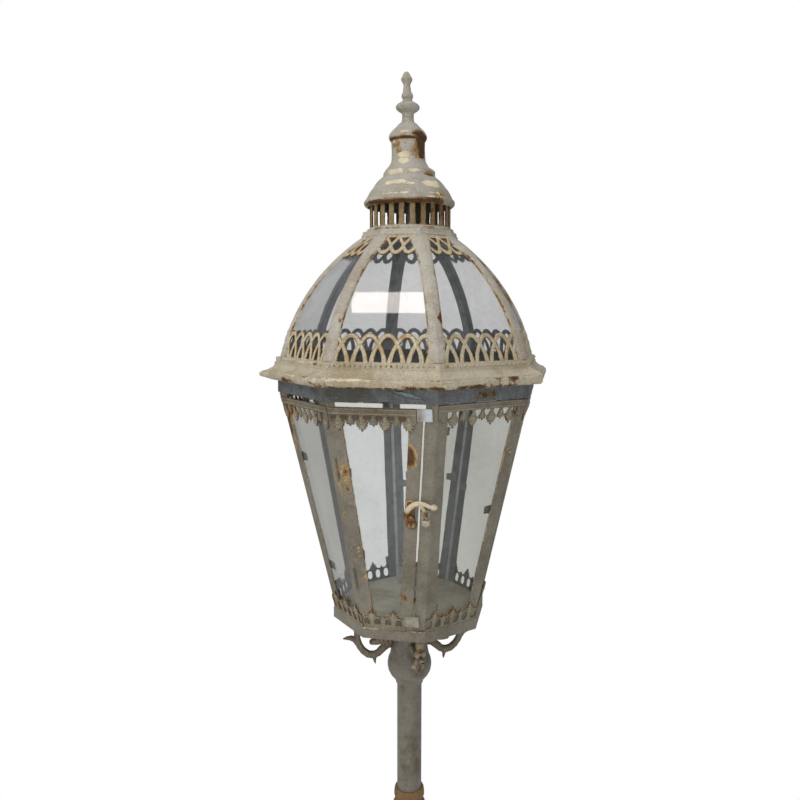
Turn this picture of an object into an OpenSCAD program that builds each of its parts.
// Octagonal glazed lantern on a floor-standing pole.
// Millimetres, +Z up, origin on the floor at the middle of the foot.
// The lantern door faces -Y. Heights in the lantern sections are measured from the
// middle of the roof rim, which stands head_z above the floor.

/* [Overall] */
// Height of the roof rim above the floor
head_z = 1380; // [1250:10:1500]

/* [Lantern body] */
// Corner radius of the glazed body just under the top band
body_r_top = 143.4; // [138:0.2:143.4]
// Corner radius of the glazed body at the bottom band
body_r_bot = 83.7; // [80:0.1:84]
// Width of one flange of a corner post
flange = 12.6; // [10:0.2:14]
// Thickness of the sheet metal
sheet = 1.5; // [1:0.1:1.8]
// Thickness of the glass
glass_t = 2.0; // [1.6:0.1:2.2]

/* [Door] */
// Width of the door's free stile
stile = 13.5; // [11:0.5:15]
// Slit between the free stile and the corner post
slit = 1.6; // [1:0.1:2.5]
// Height at which the latch pivot stands, from the rim
latch_z = -135; // [-150:1:-120]

/* [Roof] */
// Corner radius of the projecting roof rim
rim_r = 160; // [156:1:160]
// Radius of the dome's curve in the middle of a face
dome_rho = 212.8; // [211:0.1:214]
// Width of a dome rib on each side of its corner
rib_half = 8.2; // [6:0.2:10]

/* [Vent and cap] */
// Outside radius of the slotted vent drum
vent_r = 44; // [42:0.5:44]
// Number of columns round the vent drum
vent_n = 24; // [16:2:28]

/* [Pole and foot] */
// Outside radius of the pole
pole_r = 14.3; // [13:0.1:15]
// Wall of the pole tube
pole_wall = 2.0; // [1.5:0.1:2.5]
// Height of the middle collar's top above the floor
collar_z = 887; // [800:1:920]
// Radius of the foot
foot_r = 160; // [150:1:180]

/* [Hidden] */

$fn = 64;
C8 = cos(22.5);
S8 = sin(22.5);
T8 = tan(22.5);

// Body planes
z_t = -17.2;
z_b = -273;
slope_r = (body_r_top - body_r_bot) / (z_t - z_b);
tilt = atan(slope_r * C8);
ct = cos(tilt);
ap_b = body_r_bot * C8;
function W(z) = (z - z_b) / ct;                            // height in a face plane
function hw(w) = S8 * (body_r_bot + w * ct * slope_r);     // half width of a face at that height
function ap(z) = ap_b + (z - z_b) * slope_r * C8;          // apothem of the body at a height

// Dome curve: centre of the arc in the middle plane of a face
dome_ac = -76.4;
dome_zc = -25;

paint = [0.50, 0.48, 0.43];
paint_d = [0.42, 0.40, 0.36];
bare = [0.33, 0.36, 0.38];
rust = [0.36, 0.24, 0.14];
glass_c = [0.80, 0.86, 0.86, 0.35];

module head() translate([0, 0, head_z]) children();
// Drawing plane of face k: X along the face, Y up its slope, Z outward
module on_face(k) rotate([0, 0, 45 * k]) translate([0, -ap_b, z_b]) rotate([90 + tilt, 0, 0]) children();
// Slab of a face-plane outline between two depths, outward positive
module slab(k, n0, n1) on_face(k) translate([0, 0, n0]) linear_extrude(n1 - n0) children();
// Octagonal prism with flats facing the axes
module oct(r, z0, z1) translate([0, 0, z0]) rotate([0, 0, 22.5]) cylinder(r = r, h = z1 - z0, $fn = 8);
module oct_cone(r0, r1, z0, z1) translate([0, 0, z0]) rotate([0, 0, 22.5]) cylinder(r1 = r0, r2 = r1, h = z1 - z0, $fn = 8);
module ring(ro, ri, z0, z1) translate([0, 0, z0]) difference() {
  cylinder(r = ro, h = z1 - z0);
  translate([0, 0, -1]) cylinder(r = ri, h = z1 - z0 + 2);
}
module lathe(pts) rotate_extrude($fn = 96) polygon(pts);
// Outline of a band of changing width drawn along a line of points
function dirn(p, i) = let (a = p[max(i - 1, 0)], b = p[min(i + 1, len(p) - 1)], d = b - a, l = norm(d)) [-d[1] / l, d[0] / l];
function stroke(p, w) = concat([for (i = [0:len(p) - 1]) p[i] + dirn(p, i) * w[i] / 2],
                               [for (i = [len(p) - 1:-1:0]) p[i] - dirn(p, i) * w[i] / 2]);

// ---------- foot and pole ----------
module base_casting() color(paint_d) difference() {
  lathe([[6.2, 22], [6.2, 34], [pole_r + 0.1, 34], [pole_r + 0.1, 78], [24, 78], [24, 74], [27, 70], [27, 66], [24, 62],
    [26, 54], [33, 46], [46, 40], [66, 36.5], [92, 34], [104, 32.5], [108, 29], [118, 27.5], [foot_r - 26, 25],
    [foot_r - 14, 22], [foot_r - 9, 18], [foot_r - 8, 14], [foot_r - 2, 12.5], [foot_r, 10], [foot_r, 5], [foot_r - 2, 3],
    [foot_r - 30, 3], [foot_r - 32, 12], [40, 22]]);
  translate([0, 0, 28]) cylinder(r = 6.2, h = 20);
}
module base_pad() color([0.12, 0.12, 0.12]) ring(foot_r - 6, foot_r - 28, 0, 3);
module base_collar() color(rust) lathe([[pole_r + 0.05, 78], [22, 78], [24.5, 81], [24.5, 84], [21, 87], [19, 92], [20.5, 95], [20.5, 98],
    [18, 101], [pole_r + 0.05, 103]]);
module base_stud() color("silver") translate([0, 0, 9]) cylinder(r = 6, h = 91);
module base_washer() color("silver") ring(20, 6.1, 18.6, 22);
module base_nut() color("silver") translate([0, 0, 10]) difference() {
  cylinder(r = 11, h = 8.6, $fn = 6);
  translate([0, 0, -1]) cylinder(r = 6.05, h = 11);
}
module tube(ro, ri, z0, z1) ring(ro, ri, z0, z1);
module lower_pole() color(paint_d) {
  difference() {
    union() { tube(pole_r, pole_r - pole_wall, 34, collar_z - 30); ring(pole_r - pole_wall, 6.05, 60, 78); }
  }
}
module pole_joiner() color("silver") tube(pole_r - pole_wall - 0.05, pole_r - pole_wall - 2, collar_z - 72, collar_z + 12);
module pole_collar() color(rust) translate([0, 0, collar_z]) lathe([[pole_r + 0.05, 0], [16.2, 0], [17.2, -2], [17.8, -6], [17.8, -10], [16.4, -13],
    [16.0, -16], [18.6, -20], [19.6, -25], [19.6, -35], [18.6, -40], [16.0, -44], [16.4, -47], [17.8, -50], [17.8, -54], [17.2, -58], [16.2, -60], [pole_r + 0.05, -60]]);
module upper_pole() color(paint_d) tube(pole_r, pole_r - pole_wall, collar_z - 30, head_z - 336);
module ball_socket() color(paint_d) head() difference() {
  lathe([[4.05, -266], [30, -266], [30, -268.5], [21, -270], [19, -277], [19, -290], [20, -306], [20.9, -318], [22.6, -327.7], [24.6, -333],
    [25.5, -338], [25.4, -342], [24.4, -347], [21.8, -352], [18.4, -356], [16.2, -359.5], [15.8, -362],
    [pole_r + 0.05, -362], [pole_r + 0.05, -336], [4.05, -336]]);
}

// ---------- brackets under the body ----------
br_ang = [-67.5, 22.5, 112.5, 202.5];
module bracket2d() {
  // open ring from the band round to the neck
  polygon(stroke([[61, -276.9], [61.2, -286], [61.4, -297], [60.9, -306], [58.6, -314], [54.2, -320.6], [48.6, -325.2], [42.6, -326.6], [36.8, -324.6], [31.6, -319.6], [26, -315.4], [17, -314]],
                 [6.6, 6.4, 6.6, 7.2, 7.6, 7.8, 8.2, 8.4, 8.4, 8.8, 9.2, 9.6]));
  // leaf that curls into the ring
  polygon(stroke([[17, -312], [25, -311], [32, -309.8], [38, -309.6], [44.5, -310.6]], [8, 8, 8.6, 9.6, 6.4]));
  // horn outside and spike below
  polygon([[61, -303], [64.6, -301.9], [70.2, -301.7], [77.2, -304.3], [77.2, -305], [70.3, -307.5], [64, -311.5], [60, -310]]);
  polygon([[37.5, -327], [38.6, -331.6], [40, -337.5], [41, -337.5], [44.3, -330.8], [46, -327]]);
}
module scroll_brackets() color(paint_d) head() for (a = br_ang) rotate([0, 0, a]) {
  intersection() {
    rotate([90, 0, -90]) translate([0, 0, -3]) linear_extrude(6) bracket2d();
    difference() {
      translate([-4, -90, -345]) cube([8, 75, 67.9]);
      rotate_extrude($fn = 96) polygon([[0, -270], [19.3, -270], [19.3, -290], [20.3, -306], [21.2, -318], [22.9, -327.7], [24.9, -333], [25.8, -338], [25.7, -342], [24.7, -347], [0, -347]]);
    }
  }
  translate([-5, -81.5, -279]) cube([10, 24.5, 1.9]);
}
module bracket_rivets() color(rust) head() for (a = br_ang) rotate([0, 0, a]) for (s = [-1, 1]) translate([s * 3.2, -73, 0]) {
  translate([0, 0, -280.6]) cylinder(r = 1.7, h = 1.6, $fn = 24);
}
module bottom_band() color(paint) head() {
  difference() {
    oct(87.7, -277, -265.6);
    oct(87.7 - sheet / C8, -275.5, -267);
    oct(75.5, -280, -260);
    oct(87.7 - sheet / C8, -267.1, -262);
  }
}
module floor_plate() color([0.40, 0.42, 0.38]) head() difference() {
  oct(83.5, -266, -264.4);
  translate([0, 0, -270]) cylinder(r = 4.2, h = 10);
}
module head_stud() color("silver") head() translate([0, 0, -330]) cylinder(r = 4, h = 82);
module head_nut() color("silver") head() difference() {
  translate([0, 0, -264.4]) cylinder(r = 7.5, h = 6.4, $fn = 6);
  translate([0, 0, -270]) cylinder(r = 4.05, h = 20);
}
module candle_cup() color([0.62, 0.64, 0.64]) head() lathe([[4.05, -258], [12, -258], [12, -256.6], [7.5, -255], [6.2, -252], [6.2, -247.5], [9, -245.4], [13, -242],
    [14.6, -238], [13.8, -233.5], [12.4, -229.5], [12.3, -226], [13.6, -224], [13.6, -222], [11, -222], [11, -242], [0, -242], [0, -248], [4.05, -248]]);

// ---------- corner posts and bands ----------
// One flange of a post: from the corner line inwards, width fw, between two heights
module flange2d(side, fw, z0, z1) {
  w0 = W(z0); w1 = W(z1);
  polygon([[side * hw(w0), w0], [side * hw(w1), w1], [side * (hw(w1) - fw), w1], [side * (hw(w0) - fw), w0]]);
}
module corner_post(i) {
  // between face i (its right edge) and face i + 1 (its left edge)
  fr = i == 0 ? flange - 1 : flange;
  fl = i == 7 ? 8 : flange;
  z0 = -275.4;
  union() {
    slab(i, -sheet, 0) flange2d(1, fr, z0, z_t);
    slab(i + 1, -sheet, 0) flange2d(-1, fl, z0, z_t);
    // upright ends inside the top band
    for (s = [0, 1]) rotate([0, 0, 45 * (i + s)]) translate([s == 0 ? T8 * 132.4 - flange : -T8 * 132.4, -132.4, z_t - 0.8]) cube([flange, sheet, 11]);
  }
}
module corner_posts() color(paint) head() for (i = [0:7]) corner_post(i);
module top_band() color(bare) head() difference() {
  oct(134 / C8, z_t - 2.2, -4.5);
  oct(132.5 / C8, z_t - 3.2, -3);
}

// ---------- glazing ----------
module pane2d(z0, z1, m) polygon([[-(hw(W(z0)) - m), W(z0)], [hw(W(z0)) - m, W(z0)], [hw(W(z1)) - m, W(z1)], [-(hw(W(z1)) - m), W(z1)]]);
module side_pane(k) color(glass_c) head() slab(k, -sheet - 0.05 - glass_t, -sheet - 0.05) pane2d(-264.2, k == 7 ? -24 : -19.6, 3.4);
// face, side and height of each tongue
clips = [[7, -1, -90], [7, -1, -214], [7, 1, -243], [1, 1, -139], [1, -1, -48], [1, -1, -243], [2, 1, -48], [2, -1, -243], [3, 1, -150], [3, -1, -48], [4, 1, -151], [4, -1, -140],
         [5, 1, -48], [5, -1, -243], [6, -1, -48], [6, 1, -243]];
module clip(k, s, z, n) slab(k, n - 0.9, n) polygon([[s * (hw(W(z)) - 6), W(z) - 5], [s * (hw(W(z)) - flange - 5.5), W(z) - 4],
    [s * (hw(W(z)) - flange - 5.5), W(z) + 4], [s * (hw(W(z)) - 6), W(z) + 5]]);
module glass_clips() color([0.38, 0.38, 0.34]) head() for (q = clips) clip(q[0], q[1], q[2], -sheet - 0.1 - glass_t);

// ---------- pierced edgings ----------
pitch = 11.55;
// Hanging edging: rail at the top, pierced arcade, then leaves. Measured down from zt.
module drop2d(zt, xl, xr, open, ph = 0) {
  wt = W(zt);
  difference() {
    union() {
      polygon([[xl + 0.0, wt - 17], [xr, wt - 17], [xr, wt], [xl, wt]]);
      for (i = [-8:8]) if (i * pitch + ph > xl + 5 && i * pitch + ph < xr - 5) {
        if (i % 2 == 0) translate([ph, 0]) polygon([[i * pitch - 6.4, wt - 16.5], [i * pitch - 6.6, wt - 19.5], [i * pitch - 4.6, wt - 22.5], [i * pitch - 2.2, wt - 25.2], [i * pitch, wt - 28],
            [i * pitch + 2.2, wt - 25.2], [i * pitch + 4.6, wt - 22.5], [i * pitch + 6.6, wt - 19.5], [i * pitch + 6.4, wt - 16.5]]);
        else translate([i * pitch + ph, wt - 17.6]) circle(r = 4, $fn = 24);
      }
    }
    if (open) for (i = [-8:8]) if ((i + 0.5) * pitch + ph > xl + 5.5 && (i + 0.5) * pitch + ph < xr - 5.5) translate([(i + 0.5) * pitch + ph, wt - 10.6]) circle(r = 3.7, $fn = 24);
  }
}
// Standing edging: rail at the foot, pierced arcade, then finials. Measured up from zb.
module stand2d(zb, xl, xr, open) {
  wb = W(zb);
  difference() {
    union() {
      polygon([[xl, wb], [xr, wb], [xr, wb + 17], [xl, wb + 17]]);
      for (i = [-8:8]) if (i * pitch > xl + 4.5 && i * pitch < xr - 4.5)
        polygon([[i * pitch - 4.6, wb + 16.8], [i * pitch - 3, wb + 19.5], [i * pitch, wb + (i % 2 == 0 ? 29 : 23.5)], [i * pitch + 3, wb + 19.5], [i * pitch + 4.6, wb + 16.8]]);
    }
    if (open) for (i = [-8:8]) if ((i + 0.5) * pitch > xl + 5 && (i + 0.5) * pitch < xr - 5) translate([(i + 0.5) * pitch, wb + 12]) circle(r = 3.6, $fn = 24);
  }
}
module clipped(m) intersection() { children(); pane2d(-266, -15, m); }
module side_top_frets() color(paint) head() for (k = [1:7]) {
  zt = k == 7 ? -23.6 : -19.7;
  slab(k, 0.02, 1.2) clipped(0.3) drop2d(zt, -60, 60, true);
}
module side_bottom_frets() color(paint) head() for (k = [1:7]) slab(k, 0.02, 1.2) clipped(0.3) stand2d(-264.8, -60, 60, true);

// ---------- door ----------
dn0 = 0.3;             // inner face of the door sheet
dn1 = 0.3 + sheet;     // outer face of the door sheet
door_zt = -23.5;
door_zb = -264.4;
function d_left(w) = -hw(w) + 1.6;
function d_right(w) = hw(w) - (flange - 1) - slit;
module door2d(z0, z1, ml, mr) polygon([[d_left(W(z0)) + ml, W(z0)], [d_right(W(z0)) - mr, W(z0)], [d_right(W(z1)) - mr, W(z1)], [d_left(W(z1)) + ml, W(z1)]]);
module door_frame() color(paint) head() slab(0, dn0, dn1) difference() {
  door2d(door_zb, door_zt, 0, 0);
  door2d(-243, -37.4, 11.6, stile);
}
module door_glass() color(glass_c) head() slab(0, dn0 - 0.05 - glass_t, dn0 - 0.05) door2d(-247, -33.5, 8, 3.5);
module door_clips() color([0.38, 0.38, 0.34]) head() for (z = [-92, -181]) for (s = [0, 1]) slab(0, dn0 - 1.0 - glass_t, dn0 - 0.1 - glass_t)
  translate([s == 0 ? d_left(W(z)) + 7.5 : d_right(W(z)) - 14.8, W(z) - 4.5]) square([s == 0 ? 4.0 : 9.4, 9]);
module door_top_fret() color(paint) head() slab(0, dn1, dn1 + 1.2) intersection() { drop2d(door_zt, -60, 34.3, true, 3.4); door2d(-200, door_zt, 0.3, 3); }
module door_bottom_fret() color(paint) head() slab(0, dn1, dn1 + 1.2) intersection() { stand2d(door_zb, -60, 60, true); door2d(door_zb, -100, 0.3, 10.2); }
module door_tabs() color(paint) head() slab(0, dn1 + 0.02, dn1 + 1.1) {
  translate([34.8, W(-35.2)]) square([14.6, W(-23.0) - W(-35.2)]);
  translate([12.3, W(-259.2)]) square([15.3, W(-247) - W(-259.2)]);
}

// ---------- hinges ----------
// Pin line runs parallel to the corner between face 7 and face 0, a little outside it
hx = -0.9;
hn = 2.4;
edge_ang = atan(S8 * slope_r * ct);      // lean of the corner line inside the face plane
module on_hinge(z) on_face(0) translate([-hw(W(z)) + hx, W(z), hn]) rotate([0, 0, edge_ang]) rotate([-90, 0, 0]) children();
hinge_z = [-92, -212];
kn = 7.6;                                // length of one knuckle
module hinge_leaves_post() color(paint_d) head() for (z = hinge_z) difference() {
  union() {
    for (i = [0, 2]) on_hinge(z) translate([0, 0, (i - 1) * 8]) cylinder(r = 2, h = kn);
    // leaf on the neighbouring face
    on_face(7) for (i = [0, 2]) translate([hw(W(z)), W(z), 0.02]) rotate([0, 0, -edge_ang]) translate([-9, (i - 1) * 8, 0]) cube([9.6, kn, 0.9]);
  }
  on_hinge(z) translate([0, 0, -9]) cylinder(r = 1.06, h = 30);
}
module hinge_leaves_door() color(paint_d) head() for (z = hinge_z) difference() {
  union() {
    on_hinge(z) cylinder(r = 2, h = kn);
    on_face(0) translate([-hw(W(z)) + hx, W(z), 0]) rotate([0, 0, edge_ang]) translate([0.6, 0, dn1 + 0.02]) cube([10.5, kn, 0.9]);
  }
  on_hinge(z) translate([0, 0, -1]) cylinder(r = 1.06, h = 10);
}
module hinge_pins() color(rust) head() for (z = hinge_z) on_hinge(z) {
  translate([0, 0, -8.3]) cylinder(r = 1, h = 24.6);
  translate([0, 0, 15.95]) cylinder(r = 1.7, h = 1.3);
  translate([0, 0, 17.6]) sphere(r = 1.4, $fn = 24);
}

// ---------- latch ----------
lw = W(latch_z);
lx = d_right(lw) - stile / 2;
module latch_plate() color(rust) head() slab(0, dn1 + 0.02, dn1 + 1.0) difference() {
  union() {
    translate([lx, lw + 14]) circle(r = 5.6);
    translate([lx, lw - 6]) circle(r = 5.9);
    translate([lx - 4.4, lw - 6]) square([8.8, 20]);
  }
  translate([lx, lw]) circle(r = 1.56);
}
module latch_pivot() color(rust) head() on_face(0) translate([lx, lw, 0]) {
  translate([0, 0, dn1 + 0.01]) cylinder(r = 1.5, h = 5.0);
  translate([0, 0, 6.6]) cylinder(r = 2.9, h = 1.5);
}
ln0 = 3.2;
ln1 = 6.2;
module latch_lever() color([0.62, 0.54, 0.40]) head() on_face(0) translate([lx, lw, 0]) {
  difference() {
    union() {
      translate([0, 0, ln0]) linear_extrude(ln1 - ln0) {
        circle(r = 4.6);
        polygon(stroke([[-3.6, 1.5], [-3.2, 7], [-0.2, 12.4], [4.4, 16.2], [9.4, 17.4], [14.8, 16.4], [19.2, 14.6], [22.2, 14.4]], [2.6, 4.6, 5, 5, 4.6, 4.2, 3.8, 3.4]));
        polygon(stroke([[10.4, 15.4], [13.4, 11.4], [15.2, 7], [15.6, 0.9]], [4, 3.8, 3.4, 3.2]));
      }
      translate([23.6, 14.6, 5.6]) sphere(r = 3.3, $fn = 32);
    }
    translate([0, 0, 0]) cylinder(r = 1.56, h = 12);
  }
}
// Pocket on the post that takes the finger: back plate, cheeks, floor and a front lip
cx = lx + 15.6;
module latch_catch() color(paint_d) head() on_face(0) translate([cx, lw, 0]) {
  difference() {
    union() {
      translate([-6.4, -9, 0.02]) cube([10.4, 18.6, 1.0]);
      translate([0, -4.4, 0.02]) cylinder(r = 4, h = 7.8);
      translate([-4, -4.4, 0.02]) cube([8, 4.7, 7.8]);
    }
    translate([-2.7, -12, 1.02]) cube([5.4, 30, 5.7]);
  }
}

// ---------- roof ----------
module roof_rim() color(paint) head() difference() {
  union() {
    oct(rim_r - 1.6, -4.5, 4.5);
    oct(rim_r, -2.6, 2.6);
    oct_cone(157, 149.5, 4.4, 9.5);
    oct_cone(149.5, 145.6, 9.4, 14.5);
    oct(145.6, 14.4, 19);
  }
  oct(131 / C8, -6, 17);
  oct(125 / C8, 16, 20);
}
// Curved skin of one face between two radii of the dome curve
module skin(ro, ri, z0, z1) intersection() {
  translate([0, -dome_ac, dome_zc]) rotate([0, 90, 0]) difference() {
    cylinder(r = ro, h = 140, center = true, $fn = 180);
    cylinder(r = ri, h = 150, center = true, $fn = 180);
  }
  translate([-80, -170, z0]) cube([160, 168, z1 - z0]);
}
module wedge(m, z0, z1) translate([0, 0, z0]) linear_extrude(z1 - z0) polygon([[0, -m / S8], [T8 * 170 - m / C8, -170], [-(T8 * 170 - m / C8), -170]]);
g_out = dome_rho - 2.3;
module dome_panes() color(glass_c) head() for (k = [0:7]) rotate([0, 0, 45 * k]) intersection() {
  skin(g_out, g_out - glass_t, 19.02, 145.9);
  wedge(0.4, 0, 160);
}
// Inside of the dome curve of face k out to a radius
module inside(k, r) rotate([0, 0, 45 * k]) translate([0, -dome_ac, dome_zc]) rotate([0, 90, 0]) cylinder(r = r, h = 140, center = true, $fn = 180);
module dome_ribs() color(paint) head() for (k = [0:7]) difference() {
  intersection() {
    rotate([0, 0, 45 * k + 22.5]) translate([-rib_half, -180, 19.02]) cube([2 * rib_half, 165, 126.9]);
    inside(k, dome_rho);
    inside(k + 1, dome_rho);
  }
  intersection() {
    inside(k, g_out + 0.05);
    inside(k + 1, g_out + 0.05);
  }
}
ap_pitch = 17.6;
module lower_fret() color(paint) head() for (k = [0:7]) rotate([0, 0, 45 * k]) intersection() {
  skin(dome_rho - 0.6, g_out + 0.05, 19.02, 60);
  wedge(rib_half + 0.1, 0, 160);
  rotate([90, 0, 0]) translate([0, 0, 20]) linear_extrude(140) difference() {
    union() {
      polygon([[-70, 18], [70, 18], [70, 37], [-70, 37]]);
      for (i = [-4:3]) polygon([[i * ap_pitch, 36.9], [i * ap_pitch + 4, 39.5], [(i + 0.5) * ap_pitch, 46.6], [(i + 1) * ap_pitch - 4, 39.5], [(i + 1) * ap_pitch, 36.9]]);
    }
    for (i = [-3:2]) translate([(i + 0.5) * ap_pitch, 35.5]) scale([1, 1, 1]) rotate(45) square(6.2, center = true);
    for (i = [-2:2]) translate([i * ap_pitch, 26.5]) circle(r = 3.4, $fn = 24);
  }
}
module upper_fret() color(paint) head() for (k = [0:7]) rotate([0, 0, 45 * k]) intersection() {
  skin(dome_rho - 0.6, g_out + 0.05, 115, 145.9);
  wedge(rib_half + 0.1, 0, 160);
  rotate([90, 0, 0]) translate([0, 0, 20]) linear_extrude(80) difference() {
    union() {
      polygon([[-40, 131], [40, 131], [40, 146], [-40, 146]]);
      for (i = [-1:1]) translate([i * 13.2, 130]) circle(r = 6.4, $fn = 32);
    }
    for (i = [-1:1]) translate([i * 13.2, 129]) circle(r = 2.4, $fn = 24);
    for (i = [-1.5:1:1.5]) translate([i * 13.2, 136.5]) circle(r = 2.2, $fn = 24);
  }
}
module neck_plate() color(paint) head() difference() {
  union() { oct(53.6, 146, 149); oct(52.2, 149, 152.5); }
  translate([0, 0, 140]) cylinder(r = 38, h = 20);
}
module vent_bridge() color(bare) head() difference() {
  translate([-41, -6, 152.52]) cube([82, 12, 2.4]);
  translate([0, 0, 150]) cylinder(r = 3.2, h = 10);
}
module vent_colonnade() color(paint) head() difference() {
  union() {
    ring(vent_r, vent_r - sheet, 152.52, 191.4);
    ring(47.3, vent_r - sheet, 152.52, 156.4);
    ring(45.6, vent_r - sheet, 156.3, 158.4);
  }
  for (i = [0:vent_n / 2 - 1]) rotate([90, 0, (i + 0.5) * 360 / vent_n]) translate([0, 0, -60]) linear_extrude(120)
    polygon([[-1.4, 160.9], [1.4, 160.9], [2.7, 162.6], [2.7, 182.6], [1.4, 184.3], [-1.4, 184.3], [-2.7, 182.6], [-2.7, 162.6]]);
}
module bell_cap() color(paint) head() lathe([[8, 229.2], [18.8, 229.2], [19.9, 226.6], [22.6, 222.4], [25.8, 219.8], [29.1, 216.2], [30.4, 212.6], [32.9, 209.9], [37.2, 205.7],
    [40.5, 201.5], [42.6, 198], [44.3, 195.2], [46.5, 189.9], [47.8, 186.4], [49.0, 185], [49.4, 183.2], [48.6, 181], [46.8, 179.2], [45, 178.3],
    [44.1, 179.4], [44.1, 191.5], [42, 191.5], [39.6, 196.8], [36, 202.4], [31, 207.4], [27.6, 213.6], [24.4, 217.6], [20.6, 220.8], [17.4, 225.4], [16.8, 227.6], [8, 227.6]]);
module cap_crown() color(paint) head() lathe([[3.4, 229.25], [3.4, 231], [17.2, 231], [17.2, 249], [18.8, 253], [16.4, 258], [12.2, 262.6], [8.4, 267], [3.4, 268.4],
    [3.4, 273.5], [7.4, 273.5], [7.5, 270.2], [10.2, 268.1], [13.4, 264], [17.7, 259.9], [20.4, 255.9], [20.9, 253.6], [20.4, 251.2], [19.3, 249.5], [18.8, 247], [18.8, 231], [19.2, 229.25]]);
module finial() color(paint) head() difference() {
  lathe([[0, 273.52], [6.4, 273.52], [6.6, 277], [7.4, 279], [10.1, 280.5], [12.3, 282.5], [12.8, 284.6], [11.7, 286.6], [9.1, 288.7], [6.2, 290.6], [5.6, 293], [6, 296], [5.4, 299],
    [4.4, 302], [3.8, 305.6], [4.6, 308.4], [5.7, 311], [5.8, 313.4], [4.9, 316], [3.2, 318.6], [1.4, 321], [0, 321.6]]);
  translate([0, 0, 270]) cylinder(r = 3.05, h = 20);
}
module finial_stud() color("silver") head() translate([0, 0, 146]) cylinder(r = 3, h = 143.5);
module finial_nut() color("silver") head() difference() {
  translate([0, 0, 147.4]) cylinder(r = 6.5, h = 5.1, $fn = 6);
  translate([0, 0, 140]) cylinder(r = 3.05, h = 20);
}

base_casting();
base_pad();
base_collar();
base_stud();
base_washer();
base_nut();
lower_pole();
pole_joiner();
pole_collar();
upper_pole();
ball_socket();
scroll_brackets();
bracket_rivets();
bottom_band();
floor_plate();
head_stud();
head_nut();
candle_cup();
corner_posts();
top_band();
side_pane(1);  // side_pane_1
side_pane(2);  // side_pane_2
side_pane(3);  // side_pane_3
side_pane(4);  // side_pane_4
side_pane(5);  // side_pane_5
side_pane(6);  // side_pane_6
side_pane(7);  // side_pane_7
side_top_frets();
side_bottom_frets();
glass_clips();
door_frame();
door_glass();
door_top_fret();
door_bottom_fret();
door_tabs();
door_clips();
hinge_leaves_post();
hinge_leaves_door();
hinge_pins();
latch_plate();
latch_pivot();
latch_lever();
latch_catch();
roof_rim();
dome_ribs();
dome_panes();
lower_fret();
upper_fret();
neck_plate();
vent_bridge();
vent_colonnade();
bell_cap();
cap_crown();
finial();
finial_stud();
finial_nut();
